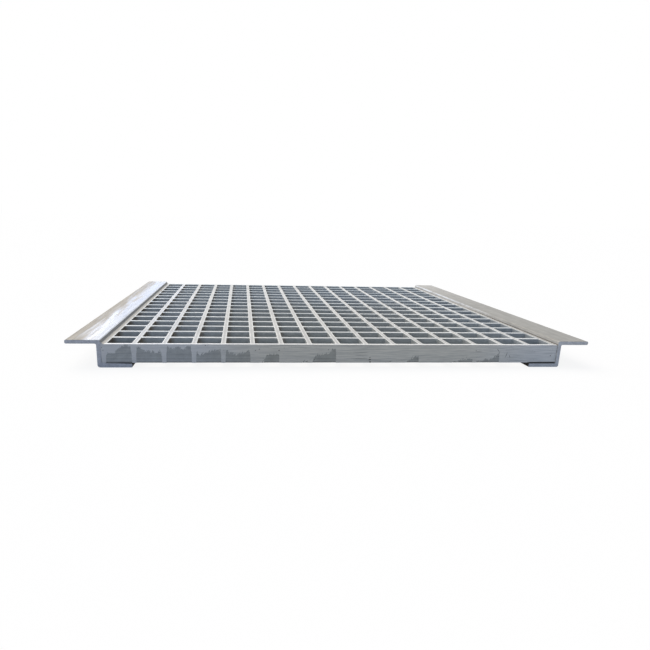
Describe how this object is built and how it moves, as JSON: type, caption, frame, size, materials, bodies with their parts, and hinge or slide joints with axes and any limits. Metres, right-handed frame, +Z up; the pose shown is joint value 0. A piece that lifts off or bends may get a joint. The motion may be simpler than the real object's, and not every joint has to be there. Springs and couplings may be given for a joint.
{
  "type": "moulded grating trench cover",
  "caption": "Square-mesh moulded glass-fibre grating panel lying in two Z-section edge frames that hang on the lips of a drainage trench.",
  "frame": {"origin": "middle of the footprint, on the plane under the frames' lower flanges", "axes": "+Z up through the panel, +X across the trench from the left frame to the right frame, +Y along the trench away from the sawn front edge"},
  "size_m": [0.704, 0.616, 0.0365],
  "materials": {
    "moulded_frp": "light grey moulded glass-fibre reinforced plastic, satin, with a ground front edge",
    "pultruded_frp": "light grey pultruded glass-fibre reinforced plastic with fine lengthwise streaks"
  },
  "bodies": {
    "root": {"grating_panel": "moulded_frp", "z_frame_left": "pultruded_frp", "z_frame_right": "pultruded_frp"}
  },
  "joints": []
}
